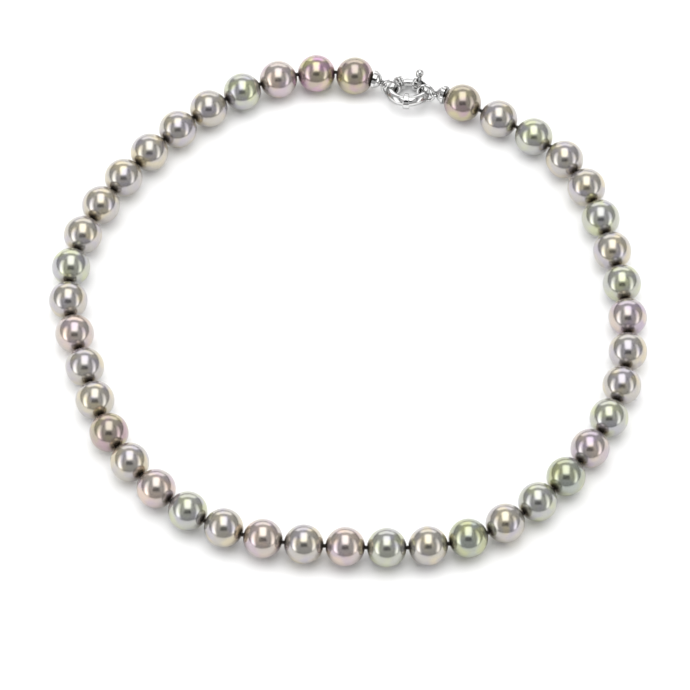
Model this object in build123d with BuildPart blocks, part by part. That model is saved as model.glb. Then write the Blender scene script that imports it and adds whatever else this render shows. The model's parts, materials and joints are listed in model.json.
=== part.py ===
from build123d import *
import os
from math import cos, radians, sin

os.makedirs("parts", exist_ok=True)

# A knotted strand of round pearls that lies in a loose ring on a table, closed at
# the back by a sailor (spring ring) clasp. Millimetres. Z is up, the clasp is at +Y,
# and the origin is on the table under the middle of the strand.

# ---- strand ---------------------------------------------------------------
PEARL_COUNT = 42
PEARL_DIAMETER = 10.25
DRILL_DIAMETER = 1.1
DRILL_CHAMFER = 0.08
THREAD_DIAMETER = 0.65
KNOT_DIAMETER = 1.15

# Hand-laid route of the strand, anticlockwise seen from above, from the left end
# cap round the front to the right end cap. The knots sit on it at equal lengths,
# apart from the last few pearls, which are strung more loosely.
STRAND_ROUTE = [
    (7.3, 72.4), (-8, 74.8), (-33, 66), (-53.5, 48.5), (-70.5, 23), (-74.5, 1), (-69, -20),
    (-65.5, -33), (-57, -49), (-31, -69.5), (1, -74.5), (32, -72), (57, -53.5), (72, -27),
    (74.5, -4), (68, 27), (62, 42.5), (41, 59.5), (26.5, 67.2),
]
LOOSE_PEARLS = 4
LOOSE_STRETCH = 1.04

# ---- sailor clasp ---------------------------------------------------------
CLASP_CENTRE = (16.6, 69.4, 3.5)
CLASP_TILT = 21.0               # its front side is raised, its gate side rests on the table
RING_RADIUS = 4.6               # centreline of the tube
TUBE_DIAMETER = 2.8
BORE_DIAMETER = 2.32
BOLT_DIAMETER = 2.16
SPIGOT_DIAMETER = 1.7
SEAT_DIAMETER = 1.9
COLLAR_DIAMETER = 4.3
RIM_DIAMETER = 3.9

# Clock angles round the clasp, clockwise seen from above, 0 at the middle of its gate.
GATE_RIM = (-38.0, -29.0)
BOLT_RIM = (-27.0, -18.5)
BOLT_COLLAR = (24.0, 38.0)
BOTTOM_COLLAR = (177.0, 194.0)
SPIGOT_TIP = -35.0
BOLT_TAIL = 54.0
SPRING_END = 112.0
TRIGGER_AT = 45.0
TRIGGER_TRAVEL = 30.0
LEFT_HOOK_AT = -70.0
RIGHT_HOOK_AT = 96.0

STEM_DIAMETER = 0.9
SLOT_CLEARANCE = 0.08
STEM_FOOT = 0.45                # height of the stem's foot above the tube's centreline
BALL_DIAMETER = 2.3
BALL_HEIGHT = 3.9
SPRING_OUTER_DIAMETER = 2.0
SPRING_INNER_DIAMETER = 1.3
COLLAR_ROUND = 0.25             # rounding of the collars' outer edges
RIM_ROUND = 0.15
PINHOLE_DIAMETER = 0.5
PINHOLE_DEPTH = 0.45
PINHOLE_RISE = 37.0             # above the clasp's plane

# ---- end caps and jump rings ----------------------------------------------
JUMP_OUTER_DIAMETER = 5.7
JUMP_WIRE_DIAMETER = 0.85
JUMP_OFFSET = 0.40              # from the tube's centreline to the jump ring's centre
CAP_DIAMETER = 5.0
CAP_BASE = -0.5                 # from the end knot to the cap's rim, which reaches round the pearl
CAP_CLEARANCE = 0.5             # between the cap's hollow underside and the pearl
CAP_LIP = 0.95                  # straight part of the rim
CAP_COVE = 0.4                  # radius of the hollow between the rim and the dome
CAP_CROWN = 2.3                 # from the end knot to the top of the dome
CAP_POCKET_DIAMETER = 1.6
CAP_POCKET_TOP = 0.7            # from the end knot
CAP_VENT_DIAMETER = 0.36         # small hole through the cove, on the front and upper side
CAP_VENT_AT = 0.65              # from the end knot
EYE_RADIUS = 1.0                # centreline of the eye
EYE_WIRE_DIAMETER = 0.7
EYE_CLEARANCE = 0.06


def finish(builder, name):
    """Label a finished piece and write its STEP file."""
    builder.part.label = name
    export_step(builder.part, f"parts/{name}.step")


# ---- layout ---------------------------------------------------------------
with BuildLine() as strand_line:
    route = Spline(*STRAND_ROUTE)
seats = [1.0] * (PEARL_COUNT - LOOSE_PEARLS) + [LOOSE_STRETCH] * LOOSE_PEARLS
raw_knots = [route @ (sum(seats[:i]) / sum(seats)) for i in range(PEARL_COUNT + 1)]
raw_centres = [(a + b) * 0.5 for a, b in zip(raw_knots, raw_knots[1:])]
middle_x = (max(c.X for c in raw_centres) + min(c.X for c in raw_centres)) / 2
middle_y = (max(c.Y for c in raw_centres) + min(c.Y for c in raw_centres)) / 2
to_origin = Vector(-middle_x, -middle_y, 0)
knots = [k + to_origin + Vector(0, 0, PEARL_DIAMETER / 2) for k in raw_knots]

clasp_centre = Vector(*CLASP_CENTRE) + to_origin
clasp_normal = Vector(0, sin(radians(CLASP_TILT)), cos(radians(CLASP_TILT)))
clasp_back = Vector(0, cos(radians(CLASP_TILT)), -sin(radians(CLASP_TILT)))
clock_axis = Axis(clasp_centre, -clasp_normal)


def station(clock):
    """Section plane of the clasp's tube: x outward, y up the clasp, z along it, clockwise."""
    angle = radians(clock)
    outward = Vector(1, 0, 0) * sin(angle) + clasp_back * cos(angle)
    along = Vector(1, 0, 0) * cos(angle) - clasp_back * sin(angle)
    return Plane(origin=clasp_centre + outward * RING_RADIUS, x_dir=outward, z_dir=along)


def hook_frames(clock, knot, pearl_centre):
    """Frames where the chain crosses the tube at a clock angle and runs out to an end knot.

    Returns the cap's plane (origin at the knot, z halfway between the end pearl's axis
    and the line to the tube), the jump ring's plane (z is its axis) and the eye's plane.
    """
    tube = station(clock)
    inward = (tube.origin - knot).normalized()
    across = (tube.z_dir - inward * tube.z_dir.dot(inward)).normalized()
    cap_axis = ((knot - pearl_centre).normalized() + inward).normalized()
    cap_across = (across - cap_axis * across.dot(cap_axis)).normalized()
    cap_plane = Plane(origin=knot, x_dir=cap_across, z_dir=cap_axis)
    jump_plane = Plane(origin=tube.origin - inward * JUMP_OFFSET, x_dir=inward, z_dir=across)
    jump_inner_radius = JUMP_OUTER_DIAMETER / 2 - JUMP_WIRE_DIAMETER
    eye_back = JUMP_OFFSET + jump_inner_radius - EYE_CLEARANCE - EYE_WIRE_DIAMETER / 2
    eye_centre = tube.origin - inward * (eye_back + EYE_RADIUS)
    eye_plane = Plane(origin=eye_centre, x_dir=inward, z_dir=inward.cross(across))
    return cap_plane, jump_plane, eye_plane


left_pearl = (knots[0] + knots[1]) * 0.5
right_pearl = (knots[-2] + knots[-1]) * 0.5
left_cap_plane, left_jump_plane, left_eye_plane = hook_frames(LEFT_HOOK_AT, knots[0], left_pearl)
right_cap_plane, right_jump_plane, right_eye_plane = hook_frames(RIGHT_HOOK_AT, knots[-1], right_pearl)


# ---- pearls ---------------------------------------------------------------
def make_pearl(start, end):
    """One drilled pearl between two knots, its hole along the line between them."""
    run = end - start
    with BuildPart(Plane(origin=(start + end) * 0.5, z_dir=run)) as pearl:
        Sphere(PEARL_DIAMETER / 2)
        Cylinder(DRILL_DIAMETER / 2, PEARL_DIAMETER, mode=Mode.SUBTRACT)
        mouths = pearl.edges().filter_by(GeomType.CIRCLE).filter_by(
            lambda edge: abs(edge.radius - DRILL_DIAMETER / 2) < 0.001)
        chamfer(mouths, DRILL_CHAMFER)
    return pearl


for i in range(PEARL_COUNT):
    finish(make_pearl(knots[i], knots[i + 1]), f"pearl_{i + 1:02d}")


# ---- silk thread ----------------------------------------------------------
with BuildPart() as silk_thread:
    with BuildLine():
        Polyline(*knots)
    with BuildSketch(Plane(origin=knots[0], z_dir=knots[1] - knots[0])):
        Circle(THREAD_DIAMETER / 2)
    sweep(transition=Transition.RIGHT)
    runs = [b - a for a, b in zip(knots, knots[1:])]
    runs.append(runs[-1])
    with Locations(*[Plane(origin=knot, z_dir=run).location for knot, run in zip(knots, runs)]):
        Sphere(KNOT_DIAMETER / 2)
finish(silk_thread, "silk_thread")


# ---- end caps -------------------------------------------------------------
def make_end_cap(cap_plane, eye_plane, pearl_centre):
    """Bell-shaped cup over the strand's last knot and the end pearl, with an eye on its crown."""
    profile_plane = Plane(origin=cap_plane.origin, x_dir=cap_plane.x_dir,
                          z_dir=cap_plane.x_dir.cross(cap_plane.z_dir))
    rim_radius = CAP_DIAMETER / 2
    dome_radius = rim_radius - CAP_COVE
    cove_top = CAP_BASE + CAP_LIP + CAP_COVE
    dome_rise = CAP_CROWN - cove_top
    ball_radius = (dome_radius ** 2 + dome_rise ** 2) / (2 * dome_rise)
    frontward = cap_plane.x_dir if cap_plane.x_dir.Y < 0 else cap_plane.x_dir * -1
    vent_out = frontward + cap_plane.y_dir
    with BuildPart() as cap:
        with BuildSketch(profile_plane):
            with BuildLine():
                Polyline((0, CAP_CROWN), (0, CAP_BASE), (rim_radius, CAP_BASE),
                         (rim_radius, CAP_BASE + CAP_LIP))
                CenterArc((rim_radius, cove_top), CAP_COVE, 180, 90)
                RadiusArc((dome_radius, cove_top), (0, CAP_CROWN), -ball_radius)
            make_face()
        revolve(axis=Axis(cap_plane.origin, cap_plane.z_dir))
        with Locations(pearl_centre):
            Sphere(PEARL_DIAMETER / 2 + CAP_CLEARANCE, mode=Mode.SUBTRACT)
        with BuildSketch(cap_plane.offset(CAP_BASE)):
            Circle(CAP_POCKET_DIAMETER / 2)
        extrude(amount=CAP_POCKET_TOP - CAP_BASE, mode=Mode.SUBTRACT)
        with Locations(eye_plane.location):
            Torus(EYE_RADIUS, EYE_WIRE_DIAMETER / 2)
        with BuildSketch(Plane(origin=cap_plane.origin + cap_plane.z_dir * CAP_VENT_AT, z_dir=vent_out)):
            Circle(CAP_VENT_DIAMETER / 2)
        extrude(amount=CAP_DIAMETER, mode=Mode.SUBTRACT)
    return cap


finish(make_end_cap(left_cap_plane, left_eye_plane, left_pearl), "end_cap_left")
finish(make_end_cap(right_cap_plane, right_eye_plane, right_pearl), "end_cap_right")


# ---- jump rings -----------------------------------------------------------
def make_jump_ring(jump_plane):
    """Closed round-wire ring."""
    wire_radius = JUMP_WIRE_DIAMETER / 2
    with BuildPart(jump_plane) as jump_ring:
        Torus(JUMP_OUTER_DIAMETER / 2 - wire_radius, wire_radius)
    return jump_ring


finish(make_jump_ring(left_jump_plane), "jump_ring_left")
finish(make_jump_ring(right_jump_plane), "jump_ring_right")


# ---- sailor clasp ---------------------------------------------------------
def make_collar(clocks, diameter, edge_round, pinhole=False):
    """Raised rim round the clasp's tube between two clock angles, with rounded edges.

    The pinhole is a small blind hole halfway along, on the outer and upper side.
    """
    start, stop = clocks
    with BuildPart() as collar:
        with BuildSketch(station(start)):
            Circle(diameter / 2)
            Circle(TUBE_DIAMETER / 2, mode=Mode.SUBTRACT)
        revolve(axis=clock_axis, revolution_arc=stop - start)
        outer_edges = collar.edges().filter_by(GeomType.CIRCLE).filter_by(
            lambda edge: abs(edge.radius - diameter / 2) < 0.001)
        fillet(outer_edges, edge_round)
        if pinhole:
            middle = station((start + stop) / 2)
            rise = radians(PINHOLE_RISE)
            pinhole_out = middle.x_dir * cos(rise) + middle.y_dir * sin(rise)
            floor = middle.origin + pinhole_out * (diameter / 2 - PINHOLE_DEPTH)
            with BuildSketch(Plane(origin=floor, z_dir=pinhole_out)):
                Circle(PINHOLE_DIAMETER / 2)
            extrude(amount=diameter, mode=Mode.SUBTRACT)
    return collar


with BuildPart() as clasp_tube:
    with BuildSketch(station(BOLT_COLLAR[0])):
        Circle(TUBE_DIAMETER / 2)
    revolve(axis=clock_axis, revolution_arc=360 + GATE_RIM[1] - BOLT_COLLAR[0])
    # bore for the bolt and its spring
    with BuildSketch(station(BOLT_COLLAR[0])):
        Circle(BORE_DIAMETER / 2)
    revolve(axis=clock_axis, revolution_arc=SPRING_END - BOLT_COLLAR[0], mode=Mode.SUBTRACT)
    # seat for the bolt's spigot
    with BuildSketch(station(GATE_RIM[0])):
        Circle(SEAT_DIAMETER / 2)
    revolve(axis=clock_axis, revolution_arc=GATE_RIM[1] - GATE_RIM[0], mode=Mode.SUBTRACT)
    # slot for the trigger's stem, with round ends
    slot_width = STEM_DIAMETER + 2 * SLOT_CLEARANCE
    with BuildSketch(station(TRIGGER_AT)):
        with Locations((0, TUBE_DIAMETER / 2)):
            Rectangle(slot_width, TUBE_DIAMETER)
    revolve(axis=clock_axis, revolution_arc=TRIGGER_TRAVEL, mode=Mode.SUBTRACT)
    for clock in (TRIGGER_AT, TRIGGER_AT + TRIGGER_TRAVEL):
        with BuildSketch(Plane(origin=station(clock).origin, z_dir=clasp_normal)):
            Circle(slot_width / 2)
        extrude(amount=TUBE_DIAMETER, mode=Mode.SUBTRACT)
finish(clasp_tube, "clasp_tube")

finish(make_collar(GATE_RIM, RIM_DIAMETER, RIM_ROUND), "gate_rim")
finish(make_collar(BOLT_COLLAR, COLLAR_DIAMETER, COLLAR_ROUND), "bolt_collar")
finish(make_collar(BOTTOM_COLLAR, COLLAR_DIAMETER, COLLAR_ROUND, pinhole=True), "bottom_collar")

with BuildPart() as gate_bolt:
    with BuildSketch(station(BOLT_RIM[0])):
        Circle(BOLT_DIAMETER / 2)
    revolve(axis=clock_axis, revolution_arc=BOLT_TAIL - BOLT_RIM[0])
    with BuildSketch(station(SPIGOT_TIP)):
        Circle(SPIGOT_DIAMETER / 2)
    revolve(axis=clock_axis, revolution_arc=BOLT_RIM[0] - SPIGOT_TIP)
    with BuildSketch(station(BOLT_RIM[0])):
        Circle(RIM_DIAMETER / 2)
    revolve(axis=clock_axis, revolution_arc=BOLT_RIM[1] - BOLT_RIM[0])
    rim_edges = gate_bolt.edges().filter_by(GeomType.CIRCLE).filter_by(
        lambda edge: abs(edge.radius - RIM_DIAMETER / 2) < 0.001)
    fillet(rim_edges, RIM_ROUND)
    # hole that the trigger's stem is pressed into
    stem_plane = Plane(origin=station(TRIGGER_AT).origin, z_dir=clasp_normal)
    with BuildSketch(stem_plane.offset(STEM_FOOT)):
        Circle(STEM_DIAMETER / 2)
    extrude(amount=BOLT_DIAMETER, mode=Mode.SUBTRACT)
finish(gate_bolt, "gate_bolt")

with BuildPart() as trigger_knob:
    with BuildSketch(stem_plane.offset(STEM_FOOT)):
        Circle(STEM_DIAMETER / 2)
    extrude(amount=BALL_HEIGHT - STEM_FOOT)
    with Locations(stem_plane.offset(BALL_HEIGHT).location):
        Sphere(BALL_DIAMETER / 2)
finish(trigger_knob, "trigger_knob")

# the coil spring's envelope: a sleeve of its outer and inner diameters
with BuildPart() as trigger_spring:
    with BuildSketch(station(BOLT_TAIL)):
        Circle(SPRING_OUTER_DIAMETER / 2)
        Circle(SPRING_INNER_DIAMETER / 2, mode=Mode.SUBTRACT)
    revolve(axis=clock_axis, revolution_arc=SPRING_END - BOLT_TAIL)
finish(trigger_spring, "trigger_spring")

print(f"strand between the end knots {route.length:.1f}, pitch {route.length / sum(seats):.3f}")
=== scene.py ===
import json
import math
import random

import bpy
from mathutils import Matrix, Vector


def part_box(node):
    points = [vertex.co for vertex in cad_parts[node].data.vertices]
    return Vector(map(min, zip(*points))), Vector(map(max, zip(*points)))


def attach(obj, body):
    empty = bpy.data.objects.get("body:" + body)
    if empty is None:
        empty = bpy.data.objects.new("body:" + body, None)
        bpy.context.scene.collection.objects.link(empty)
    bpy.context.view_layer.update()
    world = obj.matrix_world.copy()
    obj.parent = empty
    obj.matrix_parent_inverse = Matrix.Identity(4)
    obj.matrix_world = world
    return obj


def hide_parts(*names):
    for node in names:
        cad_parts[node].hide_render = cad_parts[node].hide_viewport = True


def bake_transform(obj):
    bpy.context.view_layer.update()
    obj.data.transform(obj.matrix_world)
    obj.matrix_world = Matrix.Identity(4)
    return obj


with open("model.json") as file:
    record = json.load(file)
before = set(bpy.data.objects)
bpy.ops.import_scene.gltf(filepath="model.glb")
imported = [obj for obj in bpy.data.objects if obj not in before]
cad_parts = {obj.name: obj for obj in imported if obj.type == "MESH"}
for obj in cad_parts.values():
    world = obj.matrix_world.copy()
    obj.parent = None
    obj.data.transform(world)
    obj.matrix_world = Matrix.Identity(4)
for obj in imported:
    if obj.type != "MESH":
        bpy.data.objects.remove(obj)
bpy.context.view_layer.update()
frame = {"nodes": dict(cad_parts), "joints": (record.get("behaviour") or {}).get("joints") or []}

scene = bpy.context.scene

# ---- sizes, in metres ------------------------------------------------------------
MM = 0.001
PEARL_COUNT = 42
PEARL_RADIUS = 5.125 * MM
DRILL_RADIUS = 0.55 * MM
DRILL_DEPTH = 0.9 * MM            # how far the lit part of the hole is modelled
DRILL_ROUND = 0.16 * MM           # worn edge of the hole
THREAD_RADIUS = 0.3 * MM
PLY_SHARE = 0.52                  # of the thread's radius
PEARL_SIDES = 64
PEARL_RINGS = 44

# ---- the strand, from the frame's joints --------------------------------------------
joint_of_child = {joint["child"]: joint for joint in frame["joints"]}
pearl_names = [f"pearl_{i + 1:02d}" for i in range(PEARL_COUNT)]
knots = [Vector(joint_of_child[name]["pos_m"]) for name in pearl_names]
low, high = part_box(pearl_names[-1])
knots.append((low + high) - knots[-1])   # the last knot mirrors the one before it through the last pearl


# ---- materials -------------------------------------------------------------------------
def add_ramp(tree, factor, stops):
    """Colour ramp node fed by factor. Each stop is (position, colour or value)."""
    ramp = tree.nodes.new("ShaderNodeValToRGB")
    elements = ramp.color_ramp.elements
    while len(elements) < len(stops):
        elements.new(0.5)
    for element, (position, value) in zip(elements, stops):
        element.position = position
        element.color = (*value, 1) if hasattr(value, "__len__") else (value, value, value, 1)
    tree.links.new(factor, ramp.inputs["Fac"])
    return ramp.outputs["Color"]


class Material:
    """A Principled material with short calls for the nodes it needs."""

    def __init__(self, name, **values):
        self.data = bpy.data.materials.new(name)
        self.data.use_nodes = True
        self.nodes = self.data.node_tree.nodes
        self.links = self.data.node_tree.links
        self.nodes.clear()
        self.shader = self.nodes.new("ShaderNodeBsdfPrincipled")
        output = self.nodes.new("ShaderNodeOutputMaterial")
        self.links.new(self.shader.outputs["BSDF"], output.inputs["Surface"])
        self.position = self.nodes.new("ShaderNodeTexCoord").outputs["Object"]
        for socket, value in values.items():
            self.shader.inputs[socket.replace("_", " ")].default_value = value

    def noise(self, scale, detail=2.0, offset=(0, 0, 0)):
        """Noise at a scale given in features per metre."""
        mapping = self.nodes.new("ShaderNodeMapping")
        mapping.inputs["Location"].default_value = offset
        self.links.new(self.position, mapping.inputs["Vector"])
        texture = self.nodes.new("ShaderNodeTexNoise")
        texture.inputs["Scale"].default_value = scale
        texture.inputs["Detail"].default_value = detail
        self.links.new(mapping.outputs["Vector"], texture.inputs["Vector"])
        return texture.outputs["Fac"]

    def ramp(self, factor, *stops):
        """Colours or values blended along factor. Each stop is (position, colour or value)."""
        return add_ramp(self.data.node_tree, factor, stops)

    def mix(self, factor, first, second):
        """Blend two colours. Each of the three is a socket or a plain value."""
        mix = self.nodes.new("ShaderNodeMix")
        mix.data_type = "RGBA"
        for socket, value in zip((mix.inputs[0], mix.inputs[6], mix.inputs[7]), (factor, first, second)):
            if isinstance(value, bpy.types.NodeSocket):
                self.links.new(value, socket)
            elif hasattr(value, "__len__"):
                socket.default_value = (*value, 1)
            else:
                socket.default_value = value
        return mix.outputs[2]

    def feed(self, socket, output):
        """Link an output to one of the shader's sockets."""
        self.links.new(output, self.shader.inputs[socket])

    def bump(self, height, strength, depth):
        """Roughen the surface, depth in metres."""
        bump = self.nodes.new("ShaderNodeBump")
        bump.inputs["Strength"].default_value = strength
        bump.inputs["Distance"].default_value = depth
        self.links.new(height, bump.inputs["Height"])
        self.feed("Normal", bump.outputs["Normal"])


# body colour, and two tints that drift across the nacre
NACRES = {
    "silver": ((0.455, 0.435, 0.395), (0.560, 0.500, 0.370), (0.425, 0.400, 0.435)),
    "rose": ((0.470, 0.435, 0.400), (0.580, 0.470, 0.400), (0.470, 0.395, 0.430)),
    "lilac": ((0.435, 0.405, 0.395), (0.545, 0.465, 0.405), (0.430, 0.360, 0.440)),
    "mint": ((0.435, 0.440, 0.390), (0.500, 0.520, 0.350), (0.410, 0.405, 0.430)),
    "green": ((0.390, 0.408, 0.305), (0.460, 0.475, 0.275), (0.365, 0.390, 0.360)),
    "taupe": ((0.385, 0.345, 0.285), (0.460, 0.415, 0.260), (0.405, 0.300, 0.325)),
    "peacock": ((0.415, 0.365, 0.290), (0.540, 0.510, 0.260), (0.480, 0.295, 0.430)),
}
HOLE_PAINTED_SHADE = (0.11, 0.080, 0.045)   # painted shade and reflection of the neighbouring pearls: the nacre is coloured dark brown round each drill hole
# how far out from the hole the painted shade reaches, and how dark it gets
PAINTED_SHADE_RADII = (0.95 * MM, 2.9 * MM)
PAINTED_SHADE_DEPTH = 0.8
# the strand's tints, from the left end cap round the front to the right end cap
STRINGING = (
    "taupe peacock rose mint silver silver silver silver silver silver mint "
    "silver rose silver silver taupe silver rose mint silver rose silver "
    "rose mint silver green silver mint green lilac mint silver silver "
    "lilac mint silver mint silver silver mint silver taupe"
).split()


def nacre(name, body, warm, cool):
    """Layered nacre: a soft mirror over a pale body, with slow drifts of colour and a film's sheen."""
    pearl = Material("nacre_" + name, Metallic=0.9, Roughness=0.22, IOR=1.5, Coat_Weight=0.2,
                     Coat_Roughness=0.04, Coat_IOR=1.5, Thin_Film_Thickness=360.0, Thin_Film_IOR=1.42)
    drift = pearl.ramp(pearl.noise(210, detail=1.0), (0.42, 0.0), (0.58, 1.0))
    tint = pearl.mix(drift, warm, cool)
    share = pearl.ramp(pearl.noise(240, detail=1.0, offset=(0.03, 0.01, 0.02)), (0.36, 0.1), (0.62, 0.95))
    # painted shade: the base colour goes dark brown round the drill holes, for the shade and reflection
    # of the neighbouring pearls
    hole = pearl.nodes.new("ShaderNodeAttribute")
    hole.attribute_name = "painted_shade_near_hole"
    pearl.feed("Base Color", pearl.mix(hole.outputs["Fac"], pearl.mix(share, body, tint), HOLE_PAINTED_SHADE))
    pearl.bump(pearl.noise(900, detail=2.0), 0.10, 0.02 * MM)
    return pearl.data


nacres = {name: nacre(name, *colours) for name, colours in NACRES.items()}

silk_material = Material("silk", Roughness=0.62, Specular_IOR_Level=0.35, Sheen_Weight=0.15)
silk_material.feed("Base Color", silk_material.ramp(
    silk_material.noise(5000, detail=3.0), (0.35, (0.008, 0.006, 0.004)), (0.7, (0.040, 0.029, 0.020))))

silver_material = Material("silver", Metallic=1.0, Specular_Tint=(0.08, 0.08, 0.08, 1.0))
silver_material.feed("Base Color", silver_material.ramp(
    silver_material.noise(700, detail=2.0), (0.3, (0.60, 0.60, 0.595)), (0.7, (0.70, 0.70, 0.695))))
silver_material.feed("Roughness", silver_material.ramp(
    silver_material.noise(1600, detail=3.0), (0.3, 0.03), (0.75, 0.09)))

steel_material = Material("spring_steel", Metallic=1.0)
steel_material.feed("Base Color", steel_material.ramp(
    steel_material.noise(3000), (0.3, (0.50, 0.50, 0.50)), (0.7, (0.62, 0.61, 0.60))))
steel_material.feed("Roughness", steel_material.ramp(
    steel_material.noise(6000), (0.3, 0.18), (0.7, 0.34)))

card_material = Material("studio_card", Roughness=0.9)
card_material.feed("Base Color", card_material.ramp(
    card_material.noise(3), (0.3, (0.012, 0.012, 0.012)), (0.7, (0.02, 0.02, 0.02))))

floor_material = Material("table", Roughness=0.75, Specular_IOR_Level=0.2)
floor_material.feed("Base Color", floor_material.ramp(
    floor_material.noise(40), (0.3, (0.93, 0.93, 0.93)), (0.7, (0.94, 0.94, 0.94))))


# ---- mesh building ---------------------------------------------------------------------
def add_mesh(name, points, faces, material):
    """Smooth-shaded mesh object from points and faces."""
    mesh = bpy.data.meshes.new(name)
    mesh.from_pydata(points, [], faces)
    mesh.materials.append(material)
    mesh.shade_smooth()
    mesh.update()
    item = bpy.data.objects.new(name, mesh)
    scene.collection.objects.link(item)
    return item


def add_rings(name, rings, material, loop=False):
    """Skin over rings of points. With loop the last ring joins the first, or else the ends are capped."""
    sides = len(rings[0])
    points = [tuple(point) for ring in rings for point in ring]
    spans = len(rings) if loop else len(rings) - 1
    faces = []
    for ring in range(spans):
        here, there = ring * sides, (ring + 1) % len(rings) * sides
        faces += [(here + side, here + (side + 1) % sides, there + (side + 1) % sides, there + side)
                  for side in range(sides)]
    if not loop:
        faces += [tuple(reversed(range(sides))), tuple(range(len(points) - sides, len(points)))]
    return add_mesh(name, points, faces, material)


def turned(profile, sides):
    """Rings of a shape turned about Z, from (radius, height) points."""
    angles = [2 * math.pi * side / sides for side in range(sides)]
    return [[(radius * math.cos(a), radius * math.sin(a), height) for a in angles]
            for radius, height in profile]


def ring_round(centre, side_way, up_way, radius, sides):
    """Points of a circle in the plane of two directions."""
    angles = [2 * math.pi * side / sides for side in range(sides)]
    return [tuple(centre + (side_way * math.cos(a) + up_way * math.sin(a)) * radius) for a in angles]


def place(item, start, end, spin=0.0):
    """Put an item midway between two points, its Z along the line from start to end."""
    turn = (end - start).to_track_quat("Z", "Y").to_matrix().to_4x4()
    item.data.transform(Matrix.Translation((start + end) / 2) @ turn @ Matrix.Rotation(spin, 4, "Z"))
    return item


# ---- pearls ---------------------------------------------------------------------------
def pearl_profile():
    """Half section of a drilled pearl, up the hole's wall and back down the outside."""
    mouth = DRILL_RADIUS + DRILL_ROUND
    mouth_angle = math.asin(mouth / PEARL_RADIUS)
    rim_height = PEARL_RADIUS * math.cos(mouth_angle)
    wall = [(DRILL_RADIUS, rim_height - DRILL_DEPTH), (DRILL_RADIUS, rim_height - 1.5 * DRILL_ROUND),
            (DRILL_RADIUS + 0.3 * DRILL_ROUND, rim_height - 0.4 * DRILL_ROUND)]
    span = math.pi - 2 * mouth_angle
    outside = [mouth_angle + span * ring / PEARL_RINGS for ring in range(PEARL_RINGS + 1)]
    skin = [(PEARL_RADIUS * math.sin(angle), PEARL_RADIUS * math.cos(angle)) for angle in outside]
    return wall + skin + [(radius, -height) for radius, height in reversed(wall)]


def painted_shade_at(radius):
    """How much painted shade browns the nacre at a distance from the hole's line, standing in for the
    shade and reflection of the neighbouring pearls.
    """
    near, far = PAINTED_SHADE_RADII
    share = min(max((far - radius) / (far - near), 0), 1)
    return PAINTED_SHADE_DEPTH * share * share * (3 - 2 * share)


pearl_section = pearl_profile()
pearl_rings = turned(pearl_section, PEARL_SIDES)
pearl_painted_shade = [painted_shade_at(radius) for radius, _ in pearl_section for _ in range(PEARL_SIDES)]
random.seed(7)
for index, (name, tint) in enumerate(zip(pearl_names, STRINGING)):
    start, end = knots[index], knots[index + 1]
    pearl = add_rings("nacre_" + name, pearl_rings, nacres[tint], loop=True)
    # painted shade round the drill holes, stored on each point of the pearl
    shade_layer = pearl.data.attributes.new("painted_shade_near_hole", "FLOAT", "POINT")
    shade_layer.data.foreach_set("value", pearl_painted_shade)
    place(pearl, start, end, spin=random.uniform(0, 2 * math.pi))
    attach(pearl, name)
    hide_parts(name)


# ---- silk: a two-ply thread through each pearl and a knot in each gap ---------------------
def add_thread(name, length, owner, start, end):
    """Two plies twisted together, from knot to knot."""
    ply, steps, twists, sides = THREAD_RADIUS * PLY_SHARE, 60, 7, 8
    rings_of_plies = []
    for phase in (0, math.pi):
        rings = []
        for step in range(steps + 1):
            along = step / steps
            turn = phase + 2 * math.pi * twists * along
            centre = Vector((math.cos(turn), math.sin(turn), 0)) * (THREAD_RADIUS - ply)
            centre.z = (along - 0.5) * length
            rings.append(ring_round(centre, Vector((1, 0, 0)), Vector((0, 1, 0)), ply, sides))
        rings_of_plies.append(rings)
    plies = [add_rings(f"{name}_ply_{i}", rings, silk_material.data)
             for i, rings in enumerate(rings_of_plies)]
    thread = join(plies, name)
    place(thread, start, end)
    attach(thread, owner)
    return thread


def join(items, name):
    """Make one mesh object of several that share a place."""
    points, faces = [], []
    for item in items:
        first = len(points)
        points += [tuple(vertex.co) for vertex in item.data.vertices]
        faces += [tuple(first + corner for corner in face.vertices) for face in item.data.polygons]
    material = items[0].data.materials[0]
    for item in items:
        mesh = item.data
        bpy.data.objects.remove(item)
        bpy.data.meshes.remove(mesh)
    return add_mesh(name, points, faces, material)


KNOT_COIL_RADIUS = 0.26 * MM       # of the coil's middle, which swings in and out by KNOT_SWING
KNOT_SWING = 0.10 * MM
KNOT_HEIGHT = 0.14 * MM
KNOT_WIRE_RADIUS = 0.20 * MM


def knot_line(turn):
    """Middle of the thread in an overhand knot, twice round it as turn goes from 0 to 2 pi."""
    reach = KNOT_COIL_RADIUS + KNOT_SWING * math.cos(3 * turn)
    rise = KNOT_HEIGHT * math.sin(3 * turn)
    return Vector((reach * math.cos(2 * turn), reach * math.sin(2 * turn), rise))


def add_knot(name, owner, centre, direction, spin):
    """An overhand knot: a fat coil of thread wound twice round itself."""
    steps, sides = 96, 8
    rings = []
    for step in range(steps):
        middle = knot_line(2 * math.pi * step / steps)
        ahead = knot_line(2 * math.pi * (step + 1) / steps) - middle
        side_way = ahead.cross(Vector((0, 0, 1))).normalized()
        up_way = side_way.cross(ahead).normalized()
        rings.append(ring_round(middle, side_way, up_way, KNOT_WIRE_RADIUS, sides))
    knot = add_rings(name, rings, silk_material.data, loop=True)
    place(knot, centre - direction, centre + direction, spin)
    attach(knot, owner)
    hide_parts("silk_thread")


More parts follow.
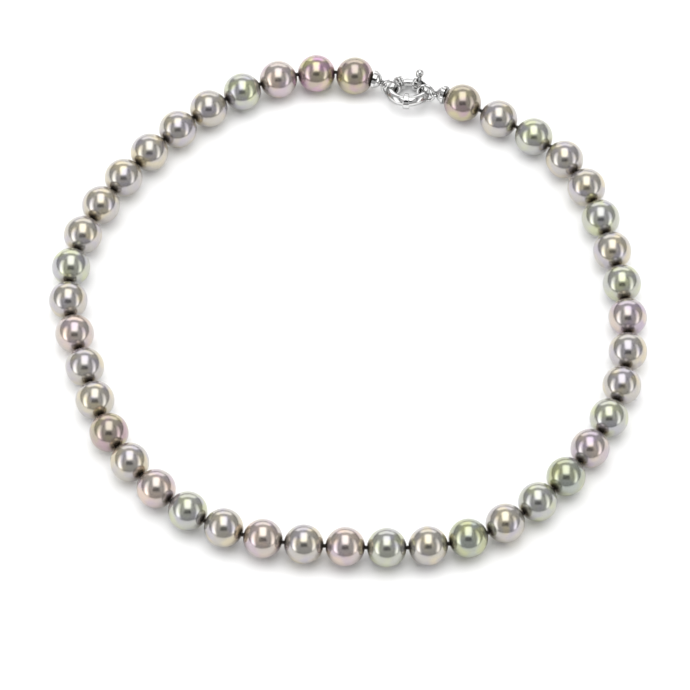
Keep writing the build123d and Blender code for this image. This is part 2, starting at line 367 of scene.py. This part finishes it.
for index, name in enumerate(pearl_names):
    start, end = knots[index], knots[index + 1]
    thread = add_thread("silk_in_" + name, (end - start).length, name, start, end)
    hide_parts("silk_thread")
for index, knot in enumerate(knots):
    owner = "strand_end" if index == 0 else pearl_names[index - 1]
    before = knots[max(index - 1, 0)]
    after = knots[min(index + 1, PEARL_COUNT)]
    direction = (after - before).normalized() * MM
    add_knot(f"silk_knot_{index:02d}", owner, knot, direction, random.uniform(0, math.pi))

# ---- clasp -------------------------------------------------------------------------------
for node, item in frame["nodes"].items():
    item.data.materials.clear()
    if node in pearl_names:
        item.data.materials.append(nacres["silver"])
    elif node == "silk_thread":
        item.data.materials.append(silk_material.data)
    elif node == "trigger_spring":
        item.data.materials.append(steel_material.data)
    else:
        item.data.materials.append(silver_material.data)

# coil spring behind the trigger's bolt, wound on the ring's round centreline
SPRING_RING_RADIUS = 4.6 * MM
SPRING_WIRE_DIAMETER = 0.35 * MM
SPRING_COIL_RADIUS = 0.82 * MM
SPRING_TURNS = 6
SPRING_CLOCK = (112.0, 54.0)       # its fixed end and the bolt's end, clockwise from the gate's middle
slide = next(joint for joint in frame["joints"] if joint["name"] == "trigger_slide")
clasp_centre, clasp_normal = Vector(slide["pos_m"]), -Vector(slide["axis"])
clasp_back = clasp_normal.cross(Vector((1, 0, 0)))


def on_ring(clock):
    """Point on the tube's centreline, and the direction outward from it."""
    angle = math.radians(clock)
    outward = Vector((1, 0, 0)) * math.sin(angle) + clasp_back * math.cos(angle)
    return clasp_centre + outward * SPRING_RING_RADIUS, outward


def add_spring():
    """The coil spring at rest; the real spring shortens as the trigger slides, but this one keeps its
    length.
    """
    steps, sides = 30 * SPRING_TURNS, 10
    line = []
    for step in range(steps + 1):
        along = step / steps
        centre, outward = on_ring(SPRING_CLOCK[0] + (SPRING_CLOCK[1] - SPRING_CLOCK[0]) * along)
        turn = 2 * math.pi * SPRING_TURNS * along
        spoke = outward * math.cos(turn) + clasp_normal * math.sin(turn)
        line.append(centre + spoke * SPRING_COIL_RADIUS)
    rings = []
    for index, point in enumerate(line):
        ahead = (line[min(index + 1, steps)] - line[max(index - 1, 0)]).normalized()
        side_way = ahead.cross(clasp_normal).normalized()
        up_way = side_way.cross(ahead)
        rings.append(ring_round(point, side_way, up_way, SPRING_WIRE_DIAMETER / 2, sides))
    spring = add_rings("coil_spring", rings, steel_material.data)
    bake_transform(spring)
    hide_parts("trigger_spring")


add_spring()

# ---- studio ---------------------------------------------------------------------------------
TABLE_REACH = 1.6
CARD_DISTANCE = 2.4                # the glowing cards stand behind every place the camera is put
CAMERA_BODY_DISTANCE = 2.3
WALL_GREYS = ((0.02, 0.10), (0.14, 0.44), (0.95, 0.62))   # dark at the foot of the walls, paler above

table_corners = [(x * TABLE_REACH, y * TABLE_REACH, 0) for x, y in ((-1, -1), (1, -1), (1, 1), (-1, 1))]
floor = add_mesh("table", table_corners, [(0, 1, 2, 3)], floor_material.data)

world = bpy.data.worlds.new("studio")
world.use_nodes = True
sky = world.node_tree
height = sky.nodes.new("ShaderNodeSeparateXYZ")
sky.links.new(sky.nodes.new("ShaderNodeTexCoord").outputs["Generated"], height.inputs["Vector"])
walls = add_ramp(sky, height.outputs["Z"], WALL_GREYS)
sky.links.new(walls, sky.nodes["Background"].inputs["Color"])
scene.world = world


def towards(azimuth, height_angle):
    """Direction from the strand. Azimuth 0 is behind the clasp and 90 is to the right, in degrees."""
    a, e = math.radians(azimuth), math.radians(height_angle)
    return Vector((math.sin(a) * math.cos(e), math.cos(a) * math.cos(e), math.sin(e)))


def add_card(name, corners, radiance, near_end, far_end, soft_edge):
    """A bowed card that spans four directions: near end left and right, then far end right and left.

    It glows at radiance, faded to near_end and far_end of it at its two ends and to nothing at its sides,
    over a share soft_edge of its width.
    """
    steps = 10
    first_left, first_right, last_right, last_left = (towards(*corner) for corner in corners)
    points, places, faces = [], [], []
    for row in range(steps + 1):
        along = row / steps
        left, right = first_left.lerp(last_left, along), first_right.lerp(last_right, along)
        for column in range(steps + 1):
            across = column / steps
            points.append(tuple(left.lerp(right, across).normalized() * CARD_DISTANCE))
            places.append((across, along))
    for row in range(steps):
        for column in range(steps):
            corner = row * (steps + 1) + column
            faces.append((corner, corner + 1, corner + steps + 2, corner + steps + 1))
    glow = bpy.data.materials.new(name)
    glow.use_nodes = True
    tree = glow.node_tree
    tree.nodes.clear()
    output, light = tree.nodes.new("ShaderNodeOutputMaterial"), tree.nodes.new("ShaderNodeEmission")
    tree.links.new(light.outputs["Emission"], output.inputs["Surface"])
    split = tree.nodes.new("ShaderNodeSeparateXYZ")
    tree.links.new(tree.nodes.new("ShaderNodeTexCoord").outputs["UV"], split.inputs["Vector"])
    fades = []
    for axis, stops in (("X", ((0, 0.0), (soft_edge, 1.0), (1 - soft_edge, 1.0), (1, 0.0))),
                        ("Y", ((0, 0.0), (0.06, near_end), (0.94, far_end), (1, 0.0)))):
        fades.append(add_ramp(tree, split.outputs[axis], stops))
    product = tree.nodes.new("ShaderNodeMath")
    product.operation = "MULTIPLY"
    strength = tree.nodes.new("ShaderNodeMath")
    strength.operation = "MULTIPLY"
    strength.inputs[1].default_value = radiance
    for slot_number, fade in enumerate(fades):
        tree.links.new(fade, product.inputs[slot_number])
    tree.links.new(product.outputs["Value"], strength.inputs[0])
    tree.links.new(strength.outputs["Value"], light.inputs["Strength"])
    card = add_mesh(name, points, faces, glow)
    layer = card.data.uv_layers.new(name="card")
    for loop in card.data.loops:
        layer.data[loop.index].uv = places[loop.vertex_index]


add_card("overhead", [(-130, 61), (130, 61), (30, 45), (-30, 45)], 2.5, 1.0, 1.0, 0.22)
add_card("left_box", [(-58, 64), (-65, 24), (-112, 2), (-150, 4)], 4.2, 0.3, 1.0, 0.48)
add_card("right_box", [(65, 24), (58, 62), (146, 4), (114, 2)], 3.3, 0.3, 1.0, 0.48)
add_card("back_panel", [(-36, 3), (36, 3), (34, 27), (-34, 27)], 2.0, 0.8, 1.0, 0.1)


def add_fill(name, location, width, power):
    """Soft round light aimed at the strand that doesn't show in the pearls, its power in watts."""
    data = bpy.data.lights.new(name, "AREA")
    data.shape = "DISK"
    data.size = width
    data.energy = power
    fill = bpy.data.objects.new(name, data)
    fill.location = location
    fill.rotation_euler = Vector(location).to_track_quat("Z", "Y").to_euler()
    fill.visible_glossy = False
    scene.collection.objects.link(fill)


add_fill("fill_left", (-0.42, 0.12, 0.42), 0.55, 1.3)
add_fill("fill_right", (0.42, 0.12, 0.42), 0.55, 1.3)
add_fill("fill_back", (0.0, 0.28, 0.80), 0.9, 1.2)

# the dark camera and its stand, seen in the middle of each pearl
body_corners = [tuple(towards(*corner) * CAMERA_BODY_DISTANCE)
                for corner in ((-145, 60), (145, 60), (152, 38), (-152, 38))]
camera_body = add_mesh("camera_body", body_corners, [(0, 1, 2, 3)], card_material.data)

# ---- camera ------------------------------------------------------------------------------------
CAMERA_ELEVATION = 58
CAMERA_DISTANCE = 1.3156
CAMERA_TARGET = Vector((-0.71, -9.83, 0)) * MM
elevation = math.radians(CAMERA_ELEVATION)
camera_back = Vector((0, -math.cos(elevation), math.sin(elevation)))
camera_data = bpy.data.cameras.new("camera")
camera_data.lens = 258.7
camera_data.sensor_width = 36
camera_data.clip_start = 0.01
camera = bpy.data.objects.new("camera", camera_data)
camera.location = CAMERA_TARGET + camera_back * CAMERA_DISTANCE
camera.rotation_euler = camera_back.to_track_quat("Z", "Y").to_euler()
scene.collection.objects.link(camera)
scene.camera = camera

# ---- look --------------------------------------------------------------------------------------
scene.view_settings.view_transform = "Standard"
scene.view_settings.look = "None"
